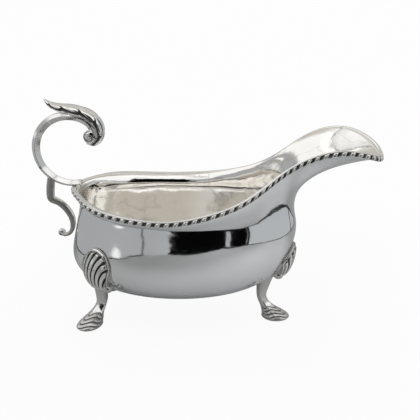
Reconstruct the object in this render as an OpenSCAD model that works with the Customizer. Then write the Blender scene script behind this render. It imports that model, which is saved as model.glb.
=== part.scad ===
// Silver sauce boat: a bellied bowl drawn out into a long lip, with a gadroon
// border round its rim, a flying scroll handle capped by a leaf, and three cast
// feet with ribbed shell knees.
// X runs from the handle to the lip, Y across and Z up. The feet stand on Z = 0
// and X = 0 is the middle of the overall length.

/* [Bowl] */
// Half length of the belly
belly_a = 65; // [62:0.5:67]
// Half width of the belly
belly_b = 38.5; // [37:0.5:40]
// Middle of the belly along the boat
belly_x = -12.8; // [-15:0.2:-11]
// Height of the outside of the bottom above the table
bottom_z = 16.5; // [15:0.5:18]
// Thickness of the silver
wall = 1.3; // [0.9:0.1:1.6]

/* [Rim border] */
// Height of the gadroon strip
border_h = 3.2; // [2.4:0.1:4]
// How far the strip stands out from the rim
border_d = 1.7; // [1.2:0.1:2.2]
// Lobes along each half of the rim
border_lobes = 46; // [30:1:54]

/* [Handle] */
// Radius of the middle line of the C scroll
scroll_r = 19.5; // [18:0.5:20.5]
// Centre of the C scroll along the boat
scroll_x = -75.6; // [-77:0.2:-74]
// Height of the centre of the C scroll
scroll_z = 96.4; // [95:0.2:98]
// Width of the scroll across the boat
scroll_w = 5.2; // [4:0.1:7]

/* [Feet] */
// Place of the front foot's sole along the boat
front_foot_x = 41.5; // [40:0.5:43]
// Place of the two back soles along the boat
back_foot_x = -62; // [-64:0.2:-60]
// Distance of each back sole from the middle plane
back_foot_y = 26; // [24:0.5:28]
// Turn of the back feet outwards from straight back
back_foot_turn = 54; // [45:1:62]
// Length of a sole
sole_l = 16.4; // [13:0.2:17]
// Width of a sole
sole_w = 12.6; // [10:0.2:13]
// Height of the front leg, up to where it meets the bowl
front_leg_h = 27.5; // [27.3:0.1:27.8]
// Height of the back legs
back_leg_h = 26.4; // [26.2:0.1:26.7]
// Height of the shell over the bowl at its hinge
shell_rise = 5; // [4.4:0.2:5.6]
// Ribs on each shell
shell_ribs = 7; // [5:2:9]

/* [Hidden] */

silver = [0.80, 0.80, 0.79];
bright = [0.90, 0.90, 0.88];

// How deep soldered pieces are seated in the piece that carries them
seat = 0.3;

// ---------------------------------------------------------------- bowl shape
// Control stations of one half of the rim, from the handle to the lip:
// [angle round the belly, x, y, height of the upper face]
stations = [
    [180, -77,    0,   75.5],
    [157, -67.5, 15,   75.5],
    [133, -58,   30,   74],
    [115, -43,   35.5, 72.5],
    [101, -25.5, 39,   71.5],
    [86,   -8.5, 40,   72.5],
    [71,    8.5, 36,   76],
    [55,   25,   31.5, 81.5],
    [42,   38,   24.5, 91],
    [31,   48,   23,   99.5],
    [22,   61.5, 24.5, 108],
    [14,   78,   21.5, 111],
    [7,    92.5, 13.5, 105],
    [0,    96.5,  0,   100]];
lip = len(stations) - 1;      // station number of the lip
around = 2 * lip;             // stations in the whole ring

// Control rings of the body, from the bottom up to the neck: part of the belly
// ellipse at the back and at the front, height over the bottom at each
body_rings = [
    [0,     0,     0,    0],
    [0.32,  0.32,  0,    0.3],
    [0.63,  0.60,  0.6,  4],
    [0.89,  0.83,  6,    12],
    [1.02,  0.95,  17,   24.5],
    [0.975, 1.01,  31,   41],
    [0.915, 0.97,  47.5, 49]];
neck = len(body_rings) - 1;

// Control rings from the neck to the rim: part of the way out and part of the
// way up, on the body and on the spout
flare_rings = [
    [[0,    0.30], [0,    0.28]],
    [[0.08, 0.70], [0.10, 0.53]],
    [[0.50, 0.97], [0.45, 0.83]],
    [[1,    1],    [1,    1]]];
rim = neck + len(flare_rings);

function lerp(a, b, t) = a + (b - a) * t;
function unit(v) = v / norm(v);
// How much of the spout's form a station takes
function spout_share(ang) = pow((1 + cos(ang)) / 2, 4);

// Control point of a body ring at an angle round the belly
function body_point(ring, ang) =
    let (front = pow((1 + cos(ang)) / 2, 2), k = lerp(ring[0], ring[1], front))
    [belly_x + k * belly_a * cos(ang),
     k * belly_b * sin(ang),
     bottom_z + lerp(ring[2], ring[3], (1 + cos(ang)) / 2)];

// Control point of a flare ring between the neck and a point of the rim
function flare_point(ring, ang, edge) =
    let (base = body_point(body_rings[neck], ang),
         f = lerp(ring[0], ring[1], spout_share(ang)))
    [lerp(base[0], edge[0], f[0]), lerp(base[1], edge[1], f[0]), lerp(base[2], edge[2], f[1])];

// Control point of a whole-number station and level, the rim's far side mirrored
function control(i, j) =
    let (m = (i + around * 2) % around,
         side = m > lip ? -1 : 1,
         row = stations[m > lip ? around - m : m],
         ang = side * row[0],
         edge = [row[1], side * row[2], row[3] - wall])
    j < 0 ? body_point(body_rings[-j], ang + 180) :
    j <= neck ? body_point(body_rings[j], ang) :
    j <= rim ? flare_point(flare_rings[j - neck - 1], ang, edge) :
    2 * edge - flare_point(flare_rings[rim - neck - 2], ang, edge);

net = [for (j = [-1:rim + 1]) [for (i = [0:around - 1]) control(i, j)]];

// Weights of a uniform cubic B-spline
function spline(t) =
    [pow(1 - t, 3), 3 * pow(t, 3) - 6 * t * t + 4, -3 * pow(t, 3) + 3 * t * t + 3 * t + 1,
     pow(t, 3)] / 6;

// Outside of the bowl at station u (any number, the ring is closed) and level v
function skin(u, v) =
    let (i = floor(u), j = min(floor(v), rim - 1),
         wu = spline(u - i), wv = spline(v - j),
         rows = [for (b = [0:3]) let (ring = net[j + b])
                 wu * [for (a = [-1:2]) ring[(i + a + around * 2) % around]]])
    wv * rows;

// Outward normal of the bowl
function skin_normal(u, v) =
    let (d = 0.05, low = max(v - d, 0.05), high = min(v + d, rim))
    unit(cross(skin(u, high) - skin(u, low), skin(u + d, v) - skin(u - d, v)));

// --------------------------------------------------------------- mesh makers
// Faces between rings of equal length, each ring closed on itself
function ring_faces(rings, count, start = 0) =
    [for (r = [0:rings - 2], c = [0:count - 1])
        let (a = start + r * count + c, b = start + r * count + (c + 1) % count)
        each [[a, b, b + count], [a, b + count, a + count]]];

// A closed tube through rings of points, with a flat cap at each end
module tube(rings) {
    count = len(rings[0]);
    last = (len(rings) - 1) * count;
    polyhedron([for (r = rings) each r],
        concat(ring_faces(len(rings), count),
               [[for (c = [count - 1:-1:0]) c]],
               [[for (c = [0:count - 1]) last + c]]));
}

// A closed slab between two equal grids of points, the front one facing out
module slab(front, back) {
    rows = len(front);
    cols = len(front[0]);
    half = rows * cols;
    polyhedron([for (r = front) each r, for (r = back) each r],
        [for (r = [0:rows - 2], c = [0:cols - 2])
            let (a = r * cols + c, b = a + 1, d = a + cols, e = d + 1)
            each [[a, b, e], [a, e, d], [half + e, half + b, half + a],
                  [half + d, half + e, half + a]],
         for (c = [0:cols - 2], end = [0, 1])
            let (a = end * (half - cols) + c, b = a + 1)
            each end == 0 ? [[b, a, half + a], [b, half + a, half + b]]
                          : [[a, b, half + b], [a, half + b, half + a]],
         for (r = [0:rows - 2], end = [0, 1])
            let (a = r * cols + end * (cols - 1), b = a + cols)
            each end == 0 ? [[a, b, half + b], [a, half + b, half + a]]
                          : [[b, a, half + a], [b, half + a, half + b]]]);
}

// A point of a spline through rows of numbers, held at both ends
function row_spline(rows, t) =
    let (n = len(rows) - 1, i = min(floor(t), n - 1), w = spline(t - i),
         before = i == 0 ? 2 * rows[0] - rows[1] : rows[i - 1],
         after = i + 2 > n ? 2 * rows[n] - rows[n - 1] : rows[i + 2])
    w * [before, rows[i], rows[i + 1], after];

// Round-cornered section across a band that runs in the XZ plane, at [x, z]
// heading along dir, with half thickness h and half width w
function band_section(at, dir, h, w, sides = 10) =
    [for (k = [0:sides - 1])
        let (a = 360 * k / sides, c = cos(a), s = sin(a),
             out = h * sign(c) * pow(abs(c), 0.8), across = w * sign(s) * pow(abs(s), 0.8))
        [at[0] - dir[1] * out, across, at[1] + dir[0] * out]];

// A band in the XZ plane through rows of [x, z, half thickness, half width]
module band(rows, steps = 3) {
    count = (len(rows) - 1) * steps;
    tube([for (k = [0:count])
        let (t = k / steps, p = row_spline(rows, t), e = 0.02,
             a = row_spline(rows, max(t - e, 0)), b = row_spline(rows, min(t + e, len(rows) - 1)))
        band_section([p[0], p[1]], unit([b[0] - a[0], b[1] - a[1]]), p[2], p[3])]);
}

// ---------------------------------------------------------------------- bowl
module bowl() {
    columns = around * 3;
    levels = [for (v = [0.3, 0.7, 1.2, 1.7, each [2.1:0.42:rim - 0.3], rim - 0.2, rim]) v];
    outside = [for (v = levels) [for (c = [0:columns - 1]) skin(c / 3, v)]];
    inside = [for (v = levels) [for (c = [0:columns - 1])
        skin(c / 3, v) - wall * skin_normal(c / 3, v)]];
    rings = len(levels);
    half = rings * columns;
    poles = [skin(0, 0), skin(0, 0) + [0, 0, wall]];
    color(silver)
    polyhedron(
        concat([for (r = outside) each r], [for (r = inside) each r], poles),
        concat(
            [for (f = ring_faces(rings, columns)) [f[2], f[1], f[0]]],
            ring_faces(rings, columns, half),
            [for (c = [0:columns - 1]) let (d = (c + 1) % columns)
                each [[2 * half, c, d], [2 * half + 1, half + d, half + c]]],
            [for (c = [0:columns - 1])
                let (d = (c + 1) % columns, o = half - columns, n = 2 * half - columns)
                each [[o + d, o + c, n + c], [o + d, n + c, n + d]]]));
}

// -------------------------------------------------------------------- border
// Section of the strip where it hangs on the rim at station u, lobe phase ph
function border_section(u, side, ph) =
    let (p = skin(u, rim), along = unit(skin(u + 0.05, rim) - skin(u - 0.05, rim)),
         out = unit(cross(along, [0, 0, 1])) * -side, swell = 0.82 + 0.18 * cos(ph),
         top = p[2] + wall + 0.1, low = top - border_h)
    [for (q = [[-seat, 0], [0.55, 0.04], [1, 0.3], [1, 0.68], [0.5, 1], [-seat, 0.95]])
        let (o = q[0] < 0 ? q[0] : q[0] * border_d * swell)
        [p[0] + out[0] * o, p[1] + out[1] * o, lerp(top, low, q[1])]];

module border(side) {
    steps = border_lobes * 3;
    end = 0.02;
    rings = [for (k = [0:steps])
        let (u = lerp(end, lip - end, k / steps))
        border_section(side > 0 ? u : -u, 1, 360 * k / 3)];
    color(bright) tube(side > 0 ? rings : [for (k = [steps:-1:0]) rings[k]]);
}
module border_left() { border(1); }
module border_right() { border(-1); }

// -------------------------------------------------------------------- handle
// The C scroll: a long arc that starts on the rim and two tighter ones that
// roll up the volute. Each row is [radius, degrees turned, steps].
scroll_start = -73;
scroll_arcs = [[scroll_r, 222, 30], [10.5, 65, 8], [2.4, 250, 12]];

// Centre and starting angle of each arc, each one tangent to the one before
function arc_start(n) =
    n == 0 ? [scroll_x, scroll_z, scroll_start] :
    let (b = arc_start(n - 1), ang = b[2] - scroll_arcs[n - 1][1],
         step = scroll_arcs[n - 1][0] - scroll_arcs[n][0])
    [b[0] + step * cos(ang), b[1] + step * sin(ang), ang];

// Points of the scroll: [x, z, direction of travel]
scroll_line = [for (n = [0:2], k = [n == 0 ? 0 : 1:scroll_arcs[n][2]])
    let (s = arc_start(n), arc = scroll_arcs[n], a = s[2] - arc[1] * k / arc[2])
    [s[0] + arc[0] * cos(a), s[1] + arc[0] * sin(a), sin(a), -cos(a)]];

// Half thickness along the scroll, from its root to the eye of the volute
scroll_thick = [[1.5, 0], [1.9, 0], [2.2, 0], [2.45, 0], [2.3, 0], [1.9, 0], [1.5, 0], [1.3, 0]];

module handle_scroll() {
    last = len(scroll_line) - 1;
    color(silver)
    tube([for (k = [0:last])
        let (p = scroll_line[k], t = k / last,
             h = row_spline(scroll_thick, t * (len(scroll_thick) - 1))[0])
        band_section([p[0], p[1]], [p[2], p[3]], h, scroll_w / 2 * (1 - 0.25 * t))]);
}

// The leaf lies on the crown of the scroll, turns under the volute at one end
// and flies free at the other
module handle_leaf() {
    color(bright)
    band([[-66, 100, 0.5, 1.6], [-61, 100.2, 1.5, 3], [-57.4, 104, 1.9, 3.9], [-57.3, 110, 2, 4.4],
          [-61, 115.8, 2.3, 4.6], [-67.5, 118.8, 2.5, 4.3], [-75, 120.2, 2.4, 3.8],
          [-82, 120.6, 1.9, 3], [-86.5, 122.6, 1.1, 2], [-88.8, 125, 0.3, 0.7]]);
}

// The lower strut drops from the scroll, sweeps in to the bowl and rolls up
// in a small bead
module handle_bracket() {
    color(silver)
    union() {
        band([[-87.4, 79.5, 2.2, 2.1], [-88.2, 74, 2.4, 2.1], [-88.6, 69, 2.3, 2.1],
              [-88.2, 66, 2.2, 2], [-84.5, 65.4, 1.9, 2], [-80.2, 62.2, 2, 2],
              [-76.6, 57, 1.9, 2], [-75.8, 51.5, 1.4, 2], [-77.2, 46.6, 1.2, 1.9],
              [-80.2, 44.6, 1, 1.8], [-83, 45.2, 0.9, 1.7]]);
        translate([-83, 0, 46.2]) rotate([90, 0, 0]) cylinder(h = 3.6, r = 2, center = true, $fn = 32);
    }
}

// ---------------------------------------------------------------------- feet
// A foot's own frame: its sole is centred on the origin and it points along +X
// Rings of a leg from the sole up: [middle, height, half length, half width,
// slope along the foot], the two halves as parts of the sole
leg_rings = [
    [0,    0,    0.42,  0.42, 0],
    [0,    1,    0.5,   0.5,  0],
    [-0.1, 2.4,  0.46,  0.47, 0],
    [-1.9, 4.4,  0.37,  0.38, 0],
    [-4,   6.6,  0.27,  0.31, 0],
    [-6.3, 9,    0.2,   0.25, 0],
    [-8.1, 12,   0.165, 0.22, 0],
    [-8.5, 15.5, 0.17,  0.23, 0]];
leg_sides = 24;
back_lean = 1.2;    // how far the back legs lean in, against the front one
back_stout = 1.18;  // how thick the back shanks are, against the front one

// The ring of each kind of leg that is soldered under the bowl
front_top = [-5.6, front_leg_h, 0.34, 0.36, 0.71];
back_top = [-8, back_leg_h, 0.24, 0.36, 1.17];

// A leg up to its top ring; the back ones lean in more and are stouter
module leg(top, lean = 1, stout = 1) {
    rings = [for (r = leg_rings)
        let (s = lerp(1, stout, min(1, r[1] / 9))) [r[0] * lean, r[1], r[2] * s, r[3] * s, r[4]]];
    shank = rings[len(rings) - 1];
    color(silver)
    tube([for (r = concat(rings, [lerp(shank, top, 0.6), top]))
        [for (k = [0:leg_sides - 1])
            let (a = -360 * k / leg_sides, x = r[2] * sole_l * cos(a))
            [r[0] + x, r[3] * sole_w * sin(a), r[1] + r[4] * x]]]);
}
module at_front() { translate([front_foot_x, 0, 0]) children(); }
module at_back(side) {
    translate([back_foot_x, side * back_foot_y, 0])
        rotate([0, 0, 180 - side * back_foot_turn]) children();
}
module front_leg() { at_front() leg(front_top); }
module left_leg() { at_back(1) leg(back_top, back_lean, back_stout); }
module right_leg() { at_back(-1) leg(back_top, back_lean, back_stout); }

// Where a shell lies on the bowl: [station, stations per millimetre across,
// level of the hinge, level at the top, how far its ribs sweep towards the lip]
front_seat = [lip, 0.2, 3.25, 4.4, 0];
back_seat = [2.03, 0.05, 3.45, 5.0, 0.6];
hinge_w = 7;        // half width of the hinge, mm
shell_l = 23;       // from the hinge to the top of the fan, mm
fan = 20;           // half angle of the fan
heel = 0.3;         // how far the knee runs on below the hinge, part of shell_l

// Distance from the hinge to the scalloped edge of the fan at angle a
function fan_reach(a) = shell_l * (0.45 + 0.55 * pow(cos(a * 90 / fan), 0.7));

// A point over the bowl at rib position q (-1 to 1), part p of the way up the
// fan and h above the silver
function shell_point(place, p, q, h) =
    let (a = q * fan, reach = fan_reach(a),
         across = hinge_w * q * min(1, 1 + 1.3 * p) + max(p, 0) * reach * sin(a),
         up = p * (p < 0 ? shell_l : reach * cos(a)),
         u = place[0] + across * place[1],
         v = lerp(place[2], place[3], up / shell_l))
    skin(u, v) + h * skin_normal(u, v);

// Height of the knee and of its ribs over the bowl
function shell_height(place, p, q) =
    let (line = q - place[4] * pow(max(p, 0), 1.6),
         rib = 0.8 * (abs(cos(90 * line * shell_ribs)) - 0.5) * min(1, max(0, p * 5)),
         side = 1 - 0.4 * pow(abs(q), 3),
         bulge = p < 0 ? lerp(1, 0.5, -p / heel) : 1 - 0.72 * pow(p, 1.8))
    max(0.5, shell_rise * bulge * side + rib);

module shell(place) {
    ps = [-heel, -heel / 2, -0.06, 0, 0.1, 0.25, 0.4, 0.55, 0.7, 0.85, 0.95, 1];
    cells = shell_ribs * 4;
    qs = [for (k = [0:cells]) 2 * k / cells - 1];
    color(bright)
    slab([for (p = ps) [for (q = qs) shell_point(place, p, q, shell_height(place, p, q))]],
         [for (p = ps) [for (q = qs) shell_point(place, p, q, -seat)]]);
}
module front_shell() { shell(front_seat); }
module left_shell() { shell(back_seat); }
module right_shell() { mirror([0, 1, 0]) shell(back_seat); }

bowl();
border_left();
border_right();
handle_scroll();
handle_leaf();
handle_bracket();
front_leg();
left_leg();
right_leg();
front_shell();
left_shell();
right_shell();
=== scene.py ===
"""A silver sauce boat: the looks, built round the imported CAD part.

Shapes are worked out in millimetres in the part's own frame, X from the handle to the lip and Z up,
and each mesh is scaled to metres as it is made.
"""

import math

import bmesh
import bpy
import numpy as np
from mathutils import Matrix, Vector


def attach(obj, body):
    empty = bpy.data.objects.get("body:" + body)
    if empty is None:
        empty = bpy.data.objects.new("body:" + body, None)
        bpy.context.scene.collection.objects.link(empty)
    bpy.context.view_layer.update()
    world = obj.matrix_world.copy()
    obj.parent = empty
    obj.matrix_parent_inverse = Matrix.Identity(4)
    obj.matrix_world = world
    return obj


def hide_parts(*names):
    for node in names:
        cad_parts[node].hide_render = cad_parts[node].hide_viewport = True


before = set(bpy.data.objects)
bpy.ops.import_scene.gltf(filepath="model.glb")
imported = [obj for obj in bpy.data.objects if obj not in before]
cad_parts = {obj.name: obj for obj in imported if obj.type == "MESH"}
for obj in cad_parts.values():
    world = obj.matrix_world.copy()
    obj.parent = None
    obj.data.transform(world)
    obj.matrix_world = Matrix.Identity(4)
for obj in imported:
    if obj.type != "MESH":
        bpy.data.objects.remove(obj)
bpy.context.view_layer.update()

MM = 0.001

# --------------------------------------------------------------------------- driving dimensions
BELLY_A = 65.0
BELLY_B = 38.5
BELLY_X = -12.8
BOTTOM_Z = 16.5
WALL = 1.3

BORDER_H = 3.2
BORDER_D = 1.7
BORDER_LOBES = 46

SCROLL_R = 19.5
SCROLL_X = -75.6
SCROLL_Z = 96.4
SCROLL_W = 5.2

FRONT_FOOT_X = 41.5
BACK_FOOT_X = -62.0
BACK_FOOT_Y = 26.0
BACK_FOOT_TURN = 54.0
SOLE_L = 16.4
SOLE_W = 12.6
FRONT_LEG_H = 27.5
BACK_LEG_H = 26.4
SHELL_RISE = 5.0
SHELL_RIBS = 7

SEAT = 0.3  # how deep a soldered piece sits in the piece that carries it


# --------------------------------------------------------------------------- small maths
def lerp(a, b, t):
    return a + (b - a) * t


def unit(v):
    return v / np.linalg.norm(v, axis=-1, keepdims=True)


def smooth(low, high, x):
    t = np.clip((x - low) / (high - low), 0, 1)
    return t * t * (3 - 2 * t)


def spline_weights(t):
    """Weights of a uniform cubic B-spline, last axis of length 4."""
    t = np.asarray(t, float)
    rows = [(1 - t) ** 3, 3 * t**3 - 6 * t**2 + 4, -3 * t**3 + 3 * t**2 + 3 * t + 1, t**3]
    return np.stack(rows, -1) / 6


def row_spline(rows, t):
    """Points of a B-spline through rows of numbers, held at both ends."""
    rows = np.asarray(rows, float)
    padded = np.vstack([2 * rows[0] - rows[1], rows, 2 * rows[-1] - rows[-2]])
    t = np.asarray(t, float)
    i = np.minimum(np.floor(t).astype(int), len(rows) - 2)
    w = spline_weights(t - i)
    return sum(w[..., k, None] * padded[i + k] for k in range(4))


# --------------------------------------------------------------------------- bowl shape
# Control stations of half the rim, handle to lip: angle round the belly, x, y, height of the upper face
STATIONS = [
    (180, -77.0, 0.0, 75.5),
    (157, -67.5, 15.0, 75.5),
    (133, -58.0, 30.0, 74.0),
    (115, -43.0, 35.5, 72.5),
    (101, -25.5, 39.0, 71.5),
    (86, -8.5, 40.0, 72.5),
    (71, 8.5, 36.0, 76.0),
    (55, 25.0, 31.5, 81.5),
    (42, 38.0, 24.5, 91.0),
    (31, 48.0, 23.0, 99.5),
    (22, 61.5, 24.5, 108.0),
    (14, 78.0, 21.5, 111.0),
    (7, 92.5, 13.5, 105.0),
    (0, 96.5, 0.0, 100.0),
]
LIP = len(STATIONS) - 1
AROUND = 2 * LIP

# Control rings of the body: part of the belly at the back and the front, height at each
BODY_RINGS = [
    (0, 0, 0, 0),
    (0.32, 0.32, 0, 0.3),
    (0.63, 0.60, 0.6, 4),
    (0.89, 0.83, 6, 12),
    (1.02, 0.95, 17, 24.5),
    (0.975, 1.01, 31, 41),
    (0.915, 0.97, 47.5, 49),
]
NECK = len(BODY_RINGS) - 1

# Control rings from neck to rim: part of the way out and up, on the body and on the spout
FLARE_RINGS = [
    ((0, 0.30), (0, 0.28)),
    ((0.08, 0.70), (0.10, 0.53)),
    ((0.50, 0.97), (0.45, 0.83)),
    ((1, 1), (1, 1)),
]
RIM = NECK + len(FLARE_RINGS)


def body_point(ring, angle):
    """Control point of a body ring at an angle round the belly, in degrees."""
    c, s = math.cos(math.radians(angle)), math.sin(math.radians(angle))
    front = (1 + c) / 2
    k = lerp(ring[0], ring[1], front**2)
    return np.array([BELLY_X + k * BELLY_A * c, k * BELLY_B * s, BOTTOM_Z + lerp(ring[2], ring[3], front)])


def flare_point(ring, angle, edge):
    """Control point of a flare ring between the neck and a point of the rim."""
    base = body_point(BODY_RINGS[NECK], angle)
    share = ((1 + math.cos(math.radians(angle))) / 2) ** 4
    out, up = lerp(np.array(ring[0]), np.array(ring[1]), share)
    return base + (edge - base) * np.array([out, out, up])


def control(i, j):
    """Control point of station i and level j."""
    m = i % AROUND
    side = -1 if m > LIP else 1
    angle, x, y, z = STATIONS[AROUND - m if m > LIP else m]
    angle, edge = side * angle, np.array([x, side * y, z - WALL])
    if j < 0:
        return body_point(BODY_RINGS[-j], angle + 180)
    if j <= NECK:
        return body_point(BODY_RINGS[j], angle)
    if j <= RIM:
        return flare_point(FLARE_RINGS[j - NECK - 1], angle, edge)
    return 2 * edge - flare_point(FLARE_RINGS[-2], angle, edge)


NET = np.array([[control(i, j) for i in range(AROUND)] for j in range(-1, RIM + 2)])


def skin(u, v):
    """Outside of the bowl at stations u and levels v."""
    u, v = np.broadcast_arrays(np.asarray(u, float), np.asarray(v, float))
    i, j = np.floor(u).astype(int), np.clip(np.floor(v).astype(int), 0, RIM - 1)
    across, up = spline_weights(u - i), spline_weights(v - j)
    return sum(
        (across[..., a] * up[..., b])[..., None] * NET[j + b, (i + a - 1) % AROUND]
        for a in range(4)
        for b in range(4)
    )


def skin_normal(u, v):
    """Outward normal of the bowl."""
    d = 0.01
    v = np.clip(v, 0.03, RIM - d)
    along = skin(u + d, v) - skin(u - d, v)
    rise = skin(u, v + d) - skin(u, v - d)
    return unit(np.cross(rise, along))


# --------------------------------------------------------------------------- mesh makers
class Shape:
    """Collects grids of points into one mesh, with a value for each point of patina and painted shade."""

    def __init__(self):
        self.points, self.faces, self.slots, self.patina, self.count = [], [], [], [], 0

    def grid(self, points, patina=0.0, wrap=False, caps=False, slot=0):
        """Adds rows x columns of points. wrap closes each row, caps closes the first and last row."""
        points = np.asarray(points, float)
        rows, cols = points.shape[:2]
        r, c = np.meshgrid(np.arange(rows - 1), np.arange(cols if wrap else cols - 1), indexing="ij")
        a = self.count + r * cols + c
        b = self.count + r * cols + (c + 1) % cols
        quads = np.stack([a, b, b + cols, a + cols], -1).reshape(-1, 4).tolist()
        if caps:
            quads.append(list(range(self.count, self.count + cols)))
            last = self.count + (rows - 1) * cols
            quads.append(list(range(last, last + cols)))
        self.points.append(points.reshape(-1, 3))
        self.patina.append(np.broadcast_to(patina, (rows, cols)).reshape(-1))
        self.faces += quads
        self.slots += [slot] * len(quads)
        self.count += rows * cols
        return self

    def make(self, name, materials, node, slot):
        """The finished piece: closed, smooth, riding on the part in place of its CAD node."""
        mesh = bpy.data.meshes.new(name)
        mesh.from_pydata((np.vstack(self.points) * MM).tolist(), [], self.faces)
        mesh.attributes.new("patina", "FLOAT", "POINT").data.foreach_set(
            "value", np.concatenate(self.patina).astype(np.float32)
        )
        for material in materials:
            mesh.materials.append(material)
        mesh.polygons.foreach_set("material_index", self.slots)
        work = bmesh.new()
        work.from_mesh(mesh)
        bmesh.ops.remove_doubles(work, verts=work.verts, dist=1e-7)
        bmesh.ops.recalc_face_normals(work, faces=work.faces)
        work.to_mesh(mesh)
        work.free()
        mesh.polygons.foreach_set("use_smooth", [True] * len(mesh.polygons))
        piece = bpy.data.objects.new(name, mesh)
        bpy.context.scene.collection.objects.link(piece)
        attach(piece, "root")
        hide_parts(node)
        return piece


def closed_slab(front, back):
    """Rings round a slab whose front and back are equal grids, so that it closes at every edge."""
    return np.concatenate([front, back[:, ::-1]], axis=1)


# --------------------------------------------------------------------------- materials
class Graph:
    """Short calls for shader nodes. An input is a number, a colour or another node's socket."""

    def __init__(self, tree):
        self.tree = tree
        tree.nodes.clear()

    def add(self, kind, settings=(), **inputs):
        node = self.tree.nodes.new(kind)
        for key, value in dict(settings).items():
            setattr(node, key, value)
        for key, value in inputs.items():
            self.put(node.inputs[key.replace("_", " ")], value)
        return node

    def put(self, socket, value):
        if isinstance(value, bpy.types.NodeSocket):
            self.tree.links.new(value, socket)
        else:
            socket.default_value = value

    def math(self, operation, a, b=0.0, c=0.0):
        node = self.tree.nodes.new("ShaderNodeMath")
        node.operation = operation
        for socket, value in zip(node.inputs, (a, b, c)):
            self.put(socket, value)
        return node.outputs[0]

    def ramp(self, value, low, high, start=0.0, end=1.0, kind="SMOOTHSTEP"):
        node = self.tree.nodes.new("ShaderNodeMapRange")
        node.interpolation_type = kind
        for socket, number in zip(node.inputs, (value, low, high, start, end)):
            self.put(socket, number)
        return node.outputs[0]

    def mix(self, factor, a, b):
        node = self.tree.nodes.new("ShaderNodeMix")
        node.data_type = "RGBA"
        self.put(node.inputs[0], factor)
        self.put(node.inputs[6], a)
        self.put(node.inputs[7], b)
        return node.outputs[2]

    def noise(self, vector, scale, detail=2.0, distortion=0.0):
        node = self.add("ShaderNodeTexNoise", Scale=scale, Detail=detail, Distortion=distortion)
        self.put(node.inputs["Vector"], vector)
        return node.outputs["Fac"]

    def stretched(self, vector, scale, turn=(0, 0, 0)):
        node = self.add("ShaderNodeMapping", Scale=scale, Rotation=turn)
        self.put(node.inputs["Vector"], vector)
        return node.outputs[0]


def silver(name, tint, polish, wave_depth, stain=0.0, hollow_tint=(0.02, 0.018, 0.016, 1)):
    """Polished silver: soft waves left by the hammer, fine wear scratches, and tarnish and painted shade in
    the hollows, read from each point's value.
    """
    material = bpy.data.materials.new(name)
    material.use_nodes = True
    g = Graph(material.node_tree)
    place = g.add("ShaderNodeTexCoord").outputs["Object"]
    waves = g.noise(place, 46, 1.5)
    dents = g.noise(place, 150, 2)
    smudges = g.noise(place, 95, 5, 0.6)
    film = g.noise(place, 28, 4, 0.4)
    scratch_a = g.noise(g.stretched(place, (90, 90, 4200), (0.5, 0.25, 0.3)), 1.0, 3)
    scratch_b = g.noise(g.stretched(place, (3600, 120, 120), (0.2, 0.5, -0.6)), 1.0, 3)
    scratches = g.math("MAXIMUM", g.ramp(scratch_a, 0.62, 0.8), g.ramp(scratch_b, 0.64, 0.82))
    # Each point's value darkens the colour towards hollow_tint and dulls the metal: tarnish, and painted
    # shade in hollows, gaps and undersides.
    hollow = g.add("ShaderNodeAttribute", {"attribute_name": "patina"}).outputs["Fac"]
    blotch = g.noise(place, 900, 3)
    tarnish_and_shade = g.math("MULTIPLY", hollow, g.ramp(blotch, 0.2, 0.75, 0.85, 1.0))
    tide = g.math("ABSOLUTE", g.math("SUBTRACT", g.noise(place, 24, 3, 1.2), 0.47))
    tarnish_and_shade = g.math("MAXIMUM", tarnish_and_shade, g.ramp(tide, 0.016, 0.004, 0.0, stain))
    worn = g.mix(g.ramp(film, 0.35, 0.7), tint, tuple(0.965 * c for c in tint[:3]) + (1,))
    colour = g.mix(tarnish_and_shade, worn, hollow_tint)
    smudged = g.ramp(smudges, 0.35, 0.8, polish, polish + 0.05)
    roughness = g.math("ADD", smudged, g.math("MULTIPLY", scratches, 0.05))
    roughness = g.math("ADD", roughness, g.math("MULTIPLY", tarnish_and_shade, 0.3))
    relief = g.math("MULTIPLY_ADD", dents, 0.12, waves)
    broad = g.add("ShaderNodeBump", Strength=1.0, Distance=wave_depth, Height=relief)
    fine = g.add("ShaderNodeBump", {"invert": True}, Strength=0.35, Distance=0.00001, Height=scratches)
    g.put(fine.inputs["Normal"], broad.outputs[0])
    shader = g.add("ShaderNodeBsdfPrincipled")
    g.put(shader.inputs["Metallic"], g.math("MULTIPLY_ADD", hollow, -0.7, 1.0))
    g.put(shader.inputs["Base Color"], colour)
    g.put(shader.inputs["Roughness"], roughness)
    g.put(shader.inputs["Normal"], fine.outputs[0])
    out = g.add("ShaderNodeOutputMaterial")
    g.put(out.inputs["Surface"], shader.outputs[0])
    return material


outside_silver = silver("silver_outside", (0.935, 0.94, 0.94, 1), 0.045, 0.00035)
inside_silver = silver("silver_inside", (0.95, 0.935, 0.905, 1), 0.06, 0.0007, 0.2, (0.5, 0.46, 0.39, 1))
cast_silver = silver("silver_cast", (0.94, 0.93, 0.905, 1), 0.1, 0.00012)


# --------------------------------------------------------------------------- bowl
BOWL_COLUMNS = AROUND * 14
BOWL_RINGS = 96
HANDLE_END_DULL = 0.85  # how dull the patch inside the handle end is painted; it stands in for the light it would reflect


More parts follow.
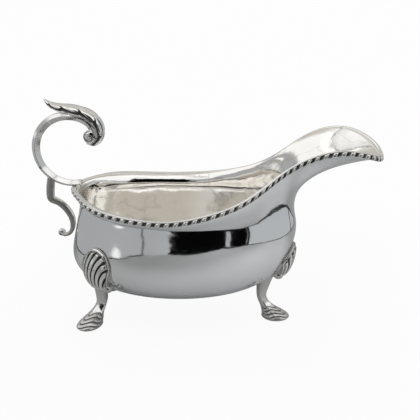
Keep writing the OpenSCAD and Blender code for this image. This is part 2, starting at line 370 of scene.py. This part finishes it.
def make_bowl():
    """The raised sheet. Inside the handle end, mirror bounces run out and would leave a black corner, so
    a patch there is painted a dull warm grey that stands in for the light it would reflect. It covers a
    limit of the rendering and isn't a feature of the boat."""
    columns, rings = BOWL_COLUMNS, BOWL_RINGS
    u = np.arange(columns) / columns * AROUND
    v = RIM * (np.arange(1, rings + 1) / rings) ** 0.9
    uu, vv = np.meshgrid(u, v)
    outer, normal = skin(uu, vv), skin_normal(uu, vv)
    inner = outer - WALL * normal
    # The cut edge is rounded over between the two faces
    outward = unit(skin(u, RIM) - skin(u, RIM - 0.01))
    turn = np.linspace(0, math.pi, 7)[1:-1, None, None]
    middle, half = (outer[-1] + inner[-1]) / 2, WALL / 2
    edge = middle + normal[-1] * half * np.cos(turn) + outward * 0.3 * np.sin(turn)
    shape = Shape()
    bottom = skin(0, 0)
    pole = np.broadcast_to(bottom, (1, columns, 3))
    shape.grid(np.concatenate([pole, outer, edge]), wrap=True)
    inner_pole = np.broadcast_to(bottom + [0, 0, WALL], (1, columns, 3))
    ring_u = np.broadcast_to(np.abs((u + LIP) % AROUND - LIP), (rings, columns))
    bottom_dull = smooth(2.0, 0.2, vv) * 0.05
    # Painted stand-in for reflected light: the handle end inside is painted dull where mirror bounces run
    # out.
    handle_end = smooth(0.9, 0.3, ring_u) * smooth(5.5, 7.5, vv) * smooth(9.2, 8.6, vv)
    dull = bottom_dull + handle_end * HANDLE_END_DULL
    inner_patina = np.concatenate([dull[::-1], dull[:1]])
    shape.grid(np.concatenate([inner[::-1], inner_pole]), wrap=True, patina=inner_patina, slot=1)
    seam_a, seam_b = edge[-1:], inner[-1:]
    shape.grid(np.concatenate([seam_a, seam_b]), wrap=True)
    return shape.make("bowl_sheet", [outside_silver, inside_silver], "bowl", "silver_bowl")


# --------------------------------------------------------------------------- gadroon border
def border_relief(w, phase):
    """How far the strip stands out, and how much painted shade and painted dark reflection it carries, at
    part w of its height and a lobe phase.
    """
    fillet_w, half_lobe = 0.12, 0.31
    fillet = 0.6 + 0.25 * np.sqrt(np.clip(1 - (w / fillet_w * 2 - 1) ** 2, 0, 1))
    q = np.clip((w - fillet_w) / (1 - fillet_w), 0, 1)
    lean = (phase + 0.28 * (q - 0.5)) % 1.0 - 0.5
    round_lobe = np.sqrt(np.clip(1 - (lean / half_lobe) ** 2, 0, 1))
    belly = np.clip(1 - np.abs(2 * q - 1) ** 3, 0, 1) ** 0.5
    dimple = np.exp(-((lean / 0.08) ** 2) - ((q - 0.52) / 0.16) ** 2)
    lobe = 0.2 + 0.8 * round_lobe * belly - 0.16 * dimple
    inside_lobe = np.abs(lean) < half_lobe
    pit = smooth(0.06, 0.18, q) * smooth(0.94, 0.82, q)
    body = np.where(inside_lobe, np.maximum(lobe, 0.2), lerp(0.5, 0.1, pit))
    out = np.where(w < fillet_w, fillet, body * smooth(1.05, 0.95, w) + 0.12)
    # Painted shade in the pits between lobes, on the lobes' sides and along the lower edge, and a painted
    # dark reflection in each lobe's dimple.
    dark = np.where(inside_lobe, np.maximum(0.35 * dimple, 0.7 * (1 - round_lobe) ** 2), pit)
    dark = np.maximum(dark, 0.8 * smooth(0.93, 0.98, w))
    return out, np.where(w < fillet_w, 0.0, dark)


STEPS_PER_LOBE = 18
BORDER_END = 0.02  # how far short of the middle plane each half stops, in stations


def make_border(side, name, node):
    """Half of the gadroon strip, along one side of the rim."""
    steps, end = BORDER_LOBES * STEPS_PER_LOBE, BORDER_END
    s = np.linspace(0, 1, steps + 1)
    u = side * lerp(end, LIP - end, s)
    base = skin(u, RIM)
    along = unit(skin(u + 0.02, RIM) - skin(u - 0.02, RIM))
    out = unit(np.cross(along, [0.0, 0.0, 1.0])) * -1.0
    w = np.concatenate([np.linspace(0, 0.12, 7)[:-1], np.linspace(0.12, 1, 24)])
    ww, ss = np.meshgrid(w, s)
    stand, dark = border_relief(ww, ss * BORDER_LOBES)
    top = base[:, None, 2] + WALL + 0.1
    height = top - BORDER_H * ww
    face = base[:, None, :] + out[:, None, :] * (stand * BORDER_D)[..., None]
    face[..., 2] = height
    back = base[:, None, :] - out[:, None, :] * SEAT + np.zeros_like(face)
    back[..., 2] = height
    section = np.concatenate([face, back[:, ::-1][:, ::6]], axis=1)
    patina = np.concatenate([dark, np.zeros((len(s), section.shape[1] - len(w)))], axis=1)
    return Shape().grid(section, patina, wrap=True, caps=True).make(
        name, [cast_silver], node, "silver_border"
    )


# --------------------------------------------------------------------------- handle
SCROLL_START = -73.0
SCROLL_ARCS = [(SCROLL_R, 222.0), (10.5, 65.0), (2.4, 250.0)]  # radius, degrees turned
SCROLL_PARTS = (30, 8, 12)  # share of the scroll's own steps that each arc has
SCROLL_THICK = [1.5, 1.9, 2.2, 2.45, 2.3, 1.9, 1.5, 1.3]


def scroll_path(per_part=6):
    """The scroll's middle line and its direction from root to eye, and the middle of the volute."""
    centre, angle, points, headings = np.array([SCROLL_X, SCROLL_Z]), SCROLL_START, [], []
    for n, (radius, turned) in enumerate(SCROLL_ARCS):
        if n:
            step = SCROLL_ARCS[n - 1][0] - radius
            centre = centre + step * np.array([math.cos(math.radians(angle)), math.sin(math.radians(angle))])
        k = np.arange(0 if n == 0 else 1, SCROLL_PARTS[n] * per_part + 1) / (SCROLL_PARTS[n] * per_part)
        a = np.radians(angle - turned * k)
        points.append(np.stack([centre[0] + radius * np.cos(a), centre[1] + radius * np.sin(a)], -1))
        headings.append(np.stack([np.sin(a), -np.cos(a)], -1))
        angle -= turned
    return np.concatenate(points), np.concatenate(headings), centre


def band_grid(at, heading, half_h, half_w, profile_out, profile_across):
    """Sections across a band in the XZ plane. The profiles give the section's outline, -1 to 1."""
    side = np.stack([-heading[:, 1], heading[:, 0]], -1)
    out = half_h[:, None] * profile_out
    x = at[:, 0, None] + side[:, 0, None] * out
    z = at[:, 1, None] + side[:, 1, None] * out
    y = half_w[:, None] * profile_across
    return np.stack([x, y, z], -1)


def filleted_profile(grooves, depth, groove_w=0.11, sides=72):
    """A rounded section with grooves along its side faces, and where it is hollow. A groove at +1
    would run along the outer face and one at -1 along the inner face."""
    a = np.arange(sides) / sides * 2 * math.pi
    out = np.sign(np.cos(a)) * np.abs(np.cos(a)) ** 0.8
    across = np.sign(np.sin(a)) * np.abs(np.sin(a)) ** 0.8
    dip = sum(np.exp(-(((out - at) / groove_w) ** 2)) for at in grooves) * (np.abs(across) > 0.4)
    return out, across * (1 - depth * dip), dip


def disc(shape, centre, radius, half_w, profile, relief):
    """Adds a round boss to a shape, its axis across the boat. The profile gives rows of (part of the
    radius, part of the half width); relief(r, turn) gives how deep it is cut, and the cut is darkened with
    painted shade to match."""
    turn = np.arange(64) / 64 * 2 * math.pi
    both = [(r, y) for r, y in profile] + [(r, -y) for r, y in reversed(profile)]
    rows, darks = [], []
    for r, y in both:
        cut = relief(r, turn)
        x = centre[0] + r * radius * np.cos(turn)
        z = centre[1] + r * radius * np.sin(turn)
        rows.append(np.stack([x, y * half_w * (1 - 0.3 * cut), z], -1))
        darks.append(cut)
    shape.grid(rows, 0.95 * np.array(darks), wrap=True, caps=True)


def spiral_cut(r, turn):
    """The groove that winds into the eye of the volute."""
    wind = (turn / (2 * math.pi) + 1.3 * r) % 1.0
    return np.exp(-(((wind - 0.5) / 0.13) ** 2)) * smooth(0.08, 0.2, r) * smooth(1.0, 0.85, r)


def ridged_profile(ridge_at=0.15, outer_slope=0.62, inner_slope=0.74, sides=72):
    """A section whose side faces rise to a crisp ridge: a steep outer flank and a broad inner one."""
    a = (np.arange(sides) + 0.5) / sides * 2 * math.pi
    out = np.cos(a)
    slope = np.where(out > ridge_at, outer_slope, inner_slope)
    rise = np.minimum(1 - slope * np.abs(out - ridge_at), 1.3 * np.abs(np.sin(a)) ** 0.8)
    return out, np.sign(np.sin(a)) * rise


VOLUTE_R, VOLUTE_HALF_W = 3.75, 2.7


def make_scroll():
    """The C scroll, with a round boss cut by a spiral at the eye of its volute."""
    at, heading, eye = scroll_path()
    t = np.linspace(0, 1, len(at))
    thick = row_spline(np.array(SCROLL_THICK)[:, None], t * (len(SCROLL_THICK) - 1))[:, 0]
    width = SCROLL_W / 2 * (1 - 0.25 * t)
    out, across = ridged_profile()
    shape = Shape()
    shape.grid(band_grid(at, heading, thick, width, out, across), 0.04, wrap=True, caps=True)
    radii = np.linspace(0.01, 0.9, 22)
    face = [(r, 1.0 - 0.42 * r**2) for r in radii] + [(0.97, 0.5), (1.0, 0.2)]
    disc(shape, eye, VOLUTE_R, VOLUTE_HALF_W, face, spiral_cut)
    return shape.make("handle_c_scroll", [cast_silver], "handle_scroll", "silver_handle")


# Rows of the leaf: x, z, half thickness, half width
LEAF_ROWS = [
    (-66, 100.6, 0.15, 1.2),
    (-61, 100.2, 1.5, 3),
    (-57.4, 104, 1.9, 3.9),
    (-57.3, 110, 2, 4.4),
    (-61, 115.8, 2.3, 4.6),
    (-67.5, 118.8, 2.5, 4.3),
    (-75, 120.2, 2.4, 3.8),
    (-82, 120.6, 1.9, 3),
    (-86.5, 122.6, 1.1, 2),
    (-88.8, 125, 0.3, 0.7),
]


def band_path(rows, count):
    """Middle line, direction, half thickness and half width of a band through rows, at count places."""
    t = np.linspace(0, len(rows) - 1, count)
    p = row_spline(rows, t)
    ahead = row_spline(rows, np.clip(t + 0.02, 0, len(rows) - 1))
    behind = row_spline(rows, np.clip(t - 0.02, 0, len(rows) - 1))
    return p[:, :2], unit(ahead[:, :2] - behind[:, :2]), p[:, 2], p[:, 3]


def make_leaf():
    """The leaf on the crown of the scroll."""
    count, sides, lobes = 420, 128, 6.5
    at, heading, half_h, half_w = band_path(LEAF_ROWS, count)
    a = np.arange(sides) / sides * 2 * math.pi
    out = np.sign(np.cos(a)) * np.abs(np.cos(a)) ** 0.8
    across = np.sign(np.sin(a)) * np.abs(np.sin(a)) ** 0.8
    s, turn = np.meshgrid(np.linspace(0, 1, count), a, indexing="ij")
    down = np.abs((turn / math.pi) % 2 - 1)  # 0 along the crown, 1 along the underside
    # Round tongues overlap along the lower edge, each with a dark gap behind it
    tooth = (s * lobes + 0.9 * down) % 1.0
    tongue = np.sqrt(np.clip(1 - (2 * tooth - 1) ** 2, 0, 1))
    edge = 0.24 + 0.25 * tongue
    cut = smooth(0.03, 0.12, s) * smooth(0.98, 0.9, s)
    gap = cut * smooth(edge, edge + 0.04, down) * smooth(0.7, 0.62, down)
    puff = cut * tongue * smooth(0.1, 0.34, down) * (1 - gap)
    vein = cut * smooth(0.1, 0.03, np.minimum(tooth, 1 - tooth)) * smooth(0.08, 0.26, down) * (1 - gap)
    scale = 1 + 0.15 * puff - 0.16 * vein - 0.28 * gap
    points = band_grid(at, heading, half_h, half_w, out * scale, across * scale)
    # Painted shade in the gaps behind the tongues, along the veins and on the underside.
    dark = np.clip(gap + 0.75 * vein + 0.25 * smooth(0.8, 0.9, down), 0, 1)
    return Shape().grid(points, dark, wrap=True, caps=True).make(
        "handle_leaf_cap", [cast_silver], "handle_leaf", "silver_handle"
    )


# Rows of the lower strut: x, z, half thickness, half width
BRACKET_ROWS = [
    (-87.4, 79.5, 2.2, 2.1),
    (-88.2, 74, 2.4, 2.1),
    (-88.6, 69, 2.3, 2.1),
    (-88.2, 66, 2.2, 2),
    (-84.5, 65.4, 1.9, 2),
    (-80.2, 62.2, 2, 2),
    (-76.6, 57, 1.9, 2),
    (-75.8, 51.5, 1.4, 2),
    (-77.2, 46.6, 1.2, 1.9),
    (-80.2, 44.6, 1, 1.8),
    (-83, 45.2, 0.9, 1.7),
]
BEAD_AT, BEAD_R, BEAD_HALF = (-83.0, 46.2), 2.0, 1.8


def bead_ring(r, turn):
    """The sunk ring on each face of the bead."""
    return np.full_like(turn, 0.65 if 0.35 < r < 0.5 else 0.0)


def make_bracket():
    """The lower strut. It hangs from the scroll and stops just short of the bowl."""
    at, heading, half_h, half_w = band_path(BRACKET_ROWS, 160)
    out, across, dip = filleted_profile([-0.45], 0.16)
    # Painted shade: the side faces are darker, most on their outer part, and so is the groove.
    flank = np.where(np.abs(across) > 0.6, np.where(out > -0.3, 0.62, 0.12), 0.0)
    shape = Shape()
    dark = np.maximum(0.8 * dip, flank)
    shape.grid(band_grid(at, heading, half_h, half_w, out, across), dark, wrap=True, caps=True)
    # The rolled end: a round bead with a sunk ring on each face
    profile = [(0.02, 0.72), (0.3, 0.8), (0.42, 0.7), (0.55, 0.86), (0.8, 0.92), (0.95, 0.62), (1.0, 0.25)]
    disc(shape, BEAD_AT, BEAD_R, BEAD_HALF, profile, bead_ring)
    return shape.make("handle_lower_strut", [cast_silver], "handle_bracket", "silver_handle")


# --------------------------------------------------------------------------- feet
# Rings of a leg: middle, height, half length, half width (parts of the sole), slope along the foot
LEG_RINGS = [
    (0, 0, 0.42, 0.42, 0),
    (0, 1, 0.5, 0.5, 0),
    (-0.1, 2.4, 0.46, 0.47, 0),
    (-1.9, 4.4, 0.37, 0.38, 0),
    (-4, 6.6, 0.27, 0.31, 0),
    (-6.3, 9, 0.2, 0.25, 0),
    (-8.1, 12, 0.165, 0.22, 0),
    (-8.5, 15.5, 0.17, 0.23, 0),
]
FRONT_TOP = (-5.6, FRONT_LEG_H, 0.34, 0.36, 0.71)
BACK_TOP = (-8, BACK_LEG_H, 0.24, 0.36, 1.17)
BACK_LEAN, BACK_STOUT = 1.2, 1.18  # how the back legs' shanks differ from LEG_RINGS


def foot_frame(x, y, turn):
    """Moves points from a foot's own frame, sole at the origin and toe along +X, to the part's."""
    c, s = math.cos(math.radians(turn)), math.sin(math.radians(turn))
    return lambda p: p @ np.array([[c, s, 0], [-s, c, 0], [0, 0, 1]]) + [x, y, 0]


def make_leg(name, node, top, place, lean=1.0, stout=1.0):
    """A cast leg on its pad foot, up to the ring that meets the bowl."""
    rings = np.array(LEG_RINGS, float)
    thicker = lerp(1.0, stout, np.minimum(1, rings[:, 1] / 9))
    rings[:, 0] *= lean
    rings[:, 2] *= thicker
    rings[:, 3] *= thicker
    rows = np.array([*rings, lerp(rings[-1], np.array(top), 0.6), top], float)
    count, sides = 200, 96
    t = np.linspace(0, 1, count) ** 1.15 * (len(rows) - 1)
    ring = row_spline(rows, t)
    middle, z, length, width, slope = (ring[:, k, None] for k in range(5))
    a = -np.arange(sides) / sides * 2 * math.pi
    cos_a, sin_a = np.cos(a), np.sin(a)
    # A keel runs down the front of the ankle
    keel = smooth(4.5, 7.5, z) * smooth(16, 11, z)
    power = lerp(1.0, 1.35, keel)
    cos_a = np.sign(cos_a) * np.abs(cos_a) ** power
    sin_a = np.sign(sin_a) * np.abs(sin_a) ** power
    # Layers of petals wrap the toe
    layer = 0.6 * (z - 0.9) + 0.42 * np.cos(3 * a + 0.6) * smooth(0.6, 2.0, z)
    tooth = layer % 1.0
    band = smooth(0.7, 1.3, z) * smooth(8.8, 7.4, z)
    groove = band * smooth(0.52, 0.74, tooth) * smooth(1.0, 0.93, tooth)
    swell = 1 + band * (0.06 * (1 - tooth) - 0.03) - 0.06 * groove
    x = length * SOLE_L * cos_a * swell
    points = np.stack([middle + x, width * SOLE_W * sin_a * swell, z + slope * x], -1)
    points[..., 2] = np.maximum(points[..., 2], 0)
    # Painted shade in the grooves between petal layers; the foot near the sole and the leg higher up are
    # also made darker and duller.
    dull = 0.34 * smooth(9.5, 7.0, z) + 0.14 * smooth(9.5, 12, z) + 0.14 * smooth(14, 22, z)
    dark = np.maximum(0.92 * groove, dull)
    return Shape().grid(place(points), dark, wrap=True, caps=True).make(
        name, [cast_silver], node, "silver_feet"
    )


# Where a shell lies on the bowl: station, stations per millimetre across, hinge level, top level, and
# how far its ribs sweep towards the lip
FRONT_SEAT = (LIP, 0.2, 3.25, 4.4, 0.0)
BACK_SEAT = (2.03, 0.05, 3.45, 5.0, 0.6)
HINGE_W, SHELL_L, FAN, HEEL = 7.0, 23.0, 20.0, 0.3


def shell_point(place, p, q, h):
    """A point over the bowl at rib position q, part p of the way up the fan, h above the silver."""
    angle = np.radians(q * FAN)
    reach = SHELL_L * (0.45 + 0.55 * np.cos(np.radians(90 * q)) ** 0.7)
    across = HINGE_W * q * np.minimum(1, 1 + 1.3 * p) + np.maximum(p, 0) * reach * np.sin(angle)
    up = p * np.where(p < 0, SHELL_L, reach * np.cos(angle))
    u = place[0] + across * place[1]
    v = lerp(place[2], place[3], up / SHELL_L)
    return skin(u, v) + h[..., None] * skin_normal(u, v)


def ellipsoid(centre, radii, rings=14, sides=24):
    """Rings of points over an ellipsoid."""
    fall = np.linspace(0.02, math.pi - 0.02, rings)[:, None]
    turn = np.arange(sides) / sides * 2 * math.pi
    x, y = np.sin(fall) * np.cos(turn), np.sin(fall) * np.sin(turn)
    ball = np.stack(np.broadcast_arrays(x, y, np.cos(fall)), -1)
    return centre + ball * radii


def make_shell(name, node, place, side=1):
    """A ribbed shell knee. side is -1 for the mirror image."""
    ps = np.concatenate([np.linspace(-HEEL, -0.05, 8), [-0.035, -0.02, -0.008], np.linspace(0, 1, 90)])
    qs = np.linspace(-1, 1, 181)
    p, q = np.meshgrid(ps, qs, indexing="ij")
    fan_part = np.clip(p * 8, 0, 1)
    line = q - place[4] * np.maximum(p, 0) ** 1.6
    rib = np.abs(np.cos(np.pi / 2 * line * SHELL_RIBS))
    # A raised margin runs round the fan, with a groove inside it
    rim = np.maximum(np.abs(q), p) * (p > 0.05)
    inner = smooth(0.92, 0.88, rim)
    ribs = fan_part * inner * (np.minimum(1, rib * 1.6) ** 0.6 - 0.5) * 1.6
    groove = fan_part * inner * smooth(0.6, 0.42, rib)
    margin = 0.3 * np.exp(-(((rim - 0.955) / 0.025) ** 2)) - 0.4 * np.exp(-(((rim - 0.905) / 0.02) ** 2))
    margin_line = np.maximum(np.exp(-(((rim - 0.905) / 0.02) ** 2)), 0.8 * smooth(0.975, 0.995, rim))
    pits = fan_part * smooth(0.8, 0.6, rib) * smooth(0.74, 0.86, rim) * inner
    edge = 1 - 0.4 * np.abs(q) ** 3
    under = smooth(-0.008, -0.045, p)
    bulge = np.where(p < 0, lerp(1.0, lerp(0.62, 0.5, -p / HEEL), under), 1 - 0.72 * np.clip(p, 0, 1) ** 1.8)
    lip = 0.6 * np.exp(-(((p - 0.012) / 0.02) ** 2))
    height = np.maximum(0.5, SHELL_RISE * bulge * edge + ribs + margin + lip - 0.5 * pits)
    height = np.where(p >= 0.999, 0.5, height)
    front = shell_point(place, p, q, height)
    back = shell_point(place, p, q, np.full_like(height, -SEAT))
    # Painted shade in the grooves between ribs, the pits, the line inside the margin, the fan's edge and the
    # heel under the hinge, with a painted shadow just under the hinge lip.
    shadow = 0.75 * under * smooth(-0.2, -0.06, p)
    dark = np.clip(np.maximum.reduce([groove, pits, 0.8 * margin_line, shadow, 0.3 * (p < 0)]), 0, 1)
    rows = closed_slab(front, back)
    patina = np.concatenate([dark, np.zeros_like(dark)], axis=1)
    rows[..., 1] *= side
    shape = Shape().grid(rows, patina, wrap=True, caps=True)
    # The hinge ends in a small scroll on one side and a smooth ear on the other
    for p_end, q_end, lift, radii in ((0.0, -1.0, 1.7, (1.5, 1.5, 1.2)), (-0.1, 0.8, 2.6, (2.8, 2.2, 2.3))):
        centre = shell_point(place, np.array(p_end), np.array(q_end), np.array(lift))
        shape.grid(ellipsoid(centre * [1, side, 1], radii), 0.3, wrap=True, caps=True)
    return shape.make(name, [cast_silver], node, "silver_feet")


# --------------------------------------------------------------------------- the whole boat
make_bowl()
make_border(1, "gadroon_border_left", "border_left")
make_border(-1, "gadroon_border_right", "border_right")
make_scroll()
make_leaf()
make_bracket()
make_leg("front_leg_cast", "front_leg", FRONT_TOP, foot_frame(FRONT_FOOT_X, 0, 0))
left_place = foot_frame(BACK_FOOT_X, BACK_FOOT_Y, 180 - BACK_FOOT_TURN)
right_place = foot_frame(BACK_FOOT_X, -BACK_FOOT_Y, 180 + BACK_FOOT_TURN)
make_leg("left_leg_cast", "left_leg", BACK_TOP, left_place, BACK_LEAN, BACK_STOUT)
make_leg("right_leg_cast", "right_leg", BACK_TOP, right_place, BACK_LEAN, BACK_STOUT)
make_shell("front_shell_knee", "front_shell", FRONT_SEAT)
make_shell("left_shell_knee", "left_shell", BACK_SEAT)
make_shell("right_shell_knee", "right_shell", BACK_SEAT, -1)

# --------------------------------------------------------------------------- studio
PAPER_WHITE = 0.985
LEFT_GREY = (0.385, 0.395, 0.405, 1)
RIGHT_GREY = (0.46, 0.475, 0.49, 1)
BACK_GREY = (0.58, 0.565, 0.53, 1)
TOP_WHITE = (1.0, 1.0, 1.0, 1)
FLOOR_HALF_X, FLOOR_HALF_Y, FLOOR_POWER = 0.205, 0.27, 5.0  # size, and how square the outline is


def make_floor():
    """The table top. It isn't one plain surface: the camera sees it white, and the silver sees it graded
    grey, a painted pool of light brightest near the boat, with a dark edge, which sets the reflections low
    on the belly."""
    half_x, half_y, power = FLOOR_HALF_X, FLOOR_HALF_Y, FLOOR_POWER
    turn = np.linspace(0, 2 * math.pi, 128, endpoint=False)
    c, s = np.cos(turn), np.sin(turn)
    outline_x = np.sign(c) * np.abs(c) ** (2 / power) * half_x
    outline_y = np.sign(s) * np.abs(s) ** (2 / power) * half_y
    outline = np.stack([outline_x, outline_y], -1)
    mesh = bpy.data.meshes.new("floor")
    mesh.from_pydata([(x, y, 0.0) for x, y in outline], [], [list(range(len(outline)))])
    floor = bpy.data.objects.new("floor", mesh)
    bpy.context.scene.collection.objects.link(floor)
    material = bpy.data.materials.new("pale_floor")
    material.use_nodes = True
    g = Graph(material.node_tree)
    place = g.add("ShaderNodeSeparateXYZ", Vector=g.add("ShaderNodeTexCoord").outputs["Object"])
    x = g.math("POWER", g.math("ABSOLUTE", g.math("DIVIDE", place.outputs[0], half_x)), power)
    y = g.math("POWER", g.math("ABSOLUTE", g.math("DIVIDE", place.outputs[1], half_y)), power)
    reach = g.math("POWER", g.math("ADD", x, y), 1 / power)
    # Painted pool of light: the grey is lighter towards the lip's side and dims towards the far and near
    # sides and past the lip.
    grey = g.mix(g.ramp(place.outputs[0], -0.1, 0.11), (0.52, 0.525, 0.53, 1), (0.76, 0.77, 0.785, 1))
    dim_far = g.ramp(place.outputs[1], 0.0, 0.07, 1.0, 0.62)
    dim_near = g.ramp(place.outputs[1], -0.06, -0.17, 1.0, 0.68)
    dimmer = g.math("MULTIPLY", dim_far, dim_near)
    dimmer = g.math("MULTIPLY", dimmer, g.ramp(place.outputs[0], 0.09, 0.18, 1.0, 0.86))
    grey = g.mix(dimmer, (0.0, 0.0, 0.0, 1), grey)
    past_left = g.ramp(place.outputs[0], -0.16, -0.13)
    edge_part = g.math("MULTIPLY", past_left, g.ramp(place.outputs[0], -0.03, -0.06))
    edge_colour = g.mix(edge_part, (0.03, 0.03, 0.03, 1), (0.36, 0.36, 0.36, 1))
    inner = g.mix(g.ramp(reach, 0.935, 0.95), grey, edge_colour)
    seen_in_silver = g.add("ShaderNodeBsdfDiffuse", Color=inner)
    paper = g.add("ShaderNodeEmission", Color=(1, 1, 1, 1), Strength=PAPER_WHITE)
    shaded = g.add("ShaderNodeBsdfDiffuse", Color=(0.95, 0.95, 0.95, 1))
    share = g.ramp(reach, 0.2, 0.8, 0.05, 0.0)
    to_camera = g.add("ShaderNodeMixShader", Fac=share)
    g.put(to_camera.inputs[1], paper.outputs[0])
    g.put(to_camera.inputs[2], shaded.outputs[0])
    camera_ray = g.add("ShaderNodeLightPath").outputs["Is Camera Ray"]
    final = g.add("ShaderNodeMixShader", Fac=camera_ray)
    g.put(final.inputs[1], seen_in_silver.outputs[0])
    g.put(final.inputs[2], to_camera.outputs[0])
    out = g.add("ShaderNodeOutputMaterial")
    g.put(out.inputs["Surface"], final.outputs[0])
    mesh.materials.append(material)


def make_surroundings():
    """What the silver reflects: grey walls, a white top, dark lines, glows and a dark opening in front.
    The camera itself sees plain white. The directions are chosen for where their reflections fall on the
    silver from the main camera, so they look less natural from other sides. Angles are in degrees round
    the boat, 0 in front of it and positive towards the lip."""
    world = bpy.data.worlds.new("studio")
    bpy.context.scene.world = world
    world.use_nodes = True
    g = Graph(world.node_tree)
    direction = g.add("ShaderNodeTexCoord").outputs["Generated"]
    ragged = g.noise(direction, 7, 4)
    part = g.add("ShaderNodeSeparateXYZ", Vector=direction)
    height = part.outputs[2]
    azimuth = g.math("ARCTAN2", part.outputs[0], g.math("MULTIPLY", part.outputs[1], -1.0))
    azimuth = g.math("MULTIPLY", azimuth, 180 / math.pi)
    rough_height = g.math("MULTIPLY_ADD", g.math("SUBTRACT", ragged, 0.5), 0.35, height)
    walls = g.mix(g.ramp(azimuth, -25, 5), LEFT_GREY, RIGHT_GREY)
    colour = g.mix(g.ramp(rough_height, 0.36, 0.46), walls, TOP_WHITE)
    turned_back = g.ramp(g.math("ABSOLUTE", azimuth), 122, 140)
    far_side = g.ramp(part.outputs[1], 0.04, 0.2)
    behind = g.math("MULTIPLY", far_side, g.math("MULTIPLY", turned_back, g.ramp(height, 0.2, 0.36)))
    colour = g.mix(behind, colour, BACK_GREY)

    def line(colour, at, width, low=-1.0, high=1.0, dark=(0.02, 0.02, 0.02, 1)):
        near = g.math("LESS_THAN", g.math("ABSOLUTE", g.math("SUBTRACT", azimuth, at)), width)
        tall = g.math("MULTIPLY", g.math("GREATER_THAN", height, low), g.math("LESS_THAN", height, high))
        return g.mix(g.math("MULTIPLY", near, tall), colour, dark)

    def glow(colour, at, level, spread, strength):
        d_az = g.math("DIVIDE", g.math("SUBTRACT", azimuth, at), spread[0])
        d_el = g.math("DIVIDE", g.math("SUBTRACT", height, level), spread[1])
        far = g.math("SQRT", g.math("ADD", g.math("MULTIPLY", d_az, d_az), g.math("MULTIPLY", d_el, d_el)))
        return g.mix(g.ramp(far, 1.0, 0.4), colour, (strength, strength, strength, 1))

    colour = glow(colour, -75, 0.0, (7, 0.12), 0.75)
    colour = glow(colour, -52, -0.2, (6, 0.05), 0.9)
    ragged_azimuth = g.math("MULTIPLY_ADD", g.math("SUBTRACT", ragged, 0.5), 30, azimuth)
    inside_left = g.math("GREATER_THAN", ragged_azimuth, -13)
    inside_right = g.math("LESS_THAN", azimuth, 41)
    below_top = g.math("LESS_THAN", rough_height, 0.7)
    opening = g.math("MULTIPLY", g.math("MULTIPLY", inside_left, inside_right), below_top)
    colour = g.mix(opening, colour, (0.0015, 0.0015, 0.0017, 1))
    colour = line(colour, 26, 1.6, -0.2, 0.1, (0.4, 0.41, 0.42, 1))
    colour = line(colour, 42.5, 1.2)
    colour = line(colour, -30, 1.0, -0.5, 0.3, (0.12, 0.12, 0.12, 1))
    colour = line(colour, 121, 1.5, -0.6, 0.4, (0.05, 0.05, 0.05, 1))
    colour = line(colour, 146, 3.0)
    # A seam crosses the top, and the cloth beside it is a little dimmer
    past_seam = g.math("ADD", g.math("MULTIPLY_ADD", part.outputs[1], -0.24, part.outputs[0]), 0.27)
    past_seam = g.math("MULTIPLY_ADD", g.math("SUBTRACT", ragged, 0.5), 0.06, past_seam)
    overhead = g.math("GREATER_THAN", height, 0.55)
    beside = g.math("MULTIPLY", g.ramp(past_seam, 0.22, 0.0), g.math("GREATER_THAN", past_seam, 0.0))
    colour = g.mix(g.math("MULTIPLY", overhead, beside), colour, (0.72, 0.72, 0.72, 1))
    on_seam = g.math("LESS_THAN", g.math("ABSOLUTE", past_seam), 0.008)
    colour = g.mix(g.math("MULTIPLY", on_seam, overhead), colour, (0.05, 0.05, 0.05, 1))
    for_silver = g.add("ShaderNodeBackground", Color=colour, Strength=1.0)
    for_camera = g.add("ShaderNodeBackground", Color=(1, 1, 1, 1), Strength=PAPER_WHITE)
    mix = g.add("ShaderNodeMixShader", Fac=g.add("ShaderNodeLightPath").outputs["Is Camera Ray"])
    g.put(mix.inputs[1], for_silver.outputs[0])
    g.put(mix.inputs[2], for_camera.outputs[0])
    out = g.add("ShaderNodeOutputWorld")
    g.put(out.inputs["Surface"], mix.outputs[0])


LIGHT_SIZE, LIGHT_WATTS, LIGHT_HEIGHT = 1.0, 0.3, 1.2


def make_light():
    """One broad, weak light straight over the table. Most of the light comes from the surroundings."""
    data = bpy.data.lights.new("softbox", "AREA")
    data.shape, data.size, data.energy = "SQUARE", LIGHT_SIZE, LIGHT_WATTS
    light = bpy.data.objects.new("softbox", data)
    bpy.context.scene.collection.objects.link(light)
    light.location = (0, 0, LIGHT_HEIGHT)


CAMERA_AZIMUTH, CAMERA_ELEVATION, CAMERA_DISTANCE = 8, 22, 0.55
CAMERA_AIM = (0.0018, 0, 0.06)
CAMERA_LENS, CAMERA_SHIFT = 83.9, (0.0064, 0.0176)


def make_camera():
    """The main camera, a little to the lip's side of square-on and looking down at the boat."""
    azimuth, elevation = math.radians(CAMERA_AZIMUTH), math.radians(CAMERA_ELEVATION)
    distance = CAMERA_DISTANCE
    aim = Vector(CAMERA_AIM)
    back = Vector(
        (
            math.sin(azimuth) * math.cos(elevation),
            -math.cos(azimuth) * math.cos(elevation),
            math.sin(elevation),
        )
    )
    data = bpy.data.cameras.new("camera")
    data.lens, data.sensor_width = CAMERA_LENS, 36.0
    data.shift_x, data.shift_y = CAMERA_SHIFT
    data.clip_start, data.clip_end = 0.01, 20.0
    camera = bpy.data.objects.new("camera", data)
    bpy.context.scene.collection.objects.link(camera)
    facing = (-back).to_track_quat("-Z", "Y").to_matrix().to_4x4()
    camera.matrix_world = Matrix.Translation(aim + back * distance) @ facing
    bpy.context.scene.camera = camera


make_floor()
make_surroundings()
make_light()
make_camera()
bpy.context.scene.view_settings.view_transform = "Standard"
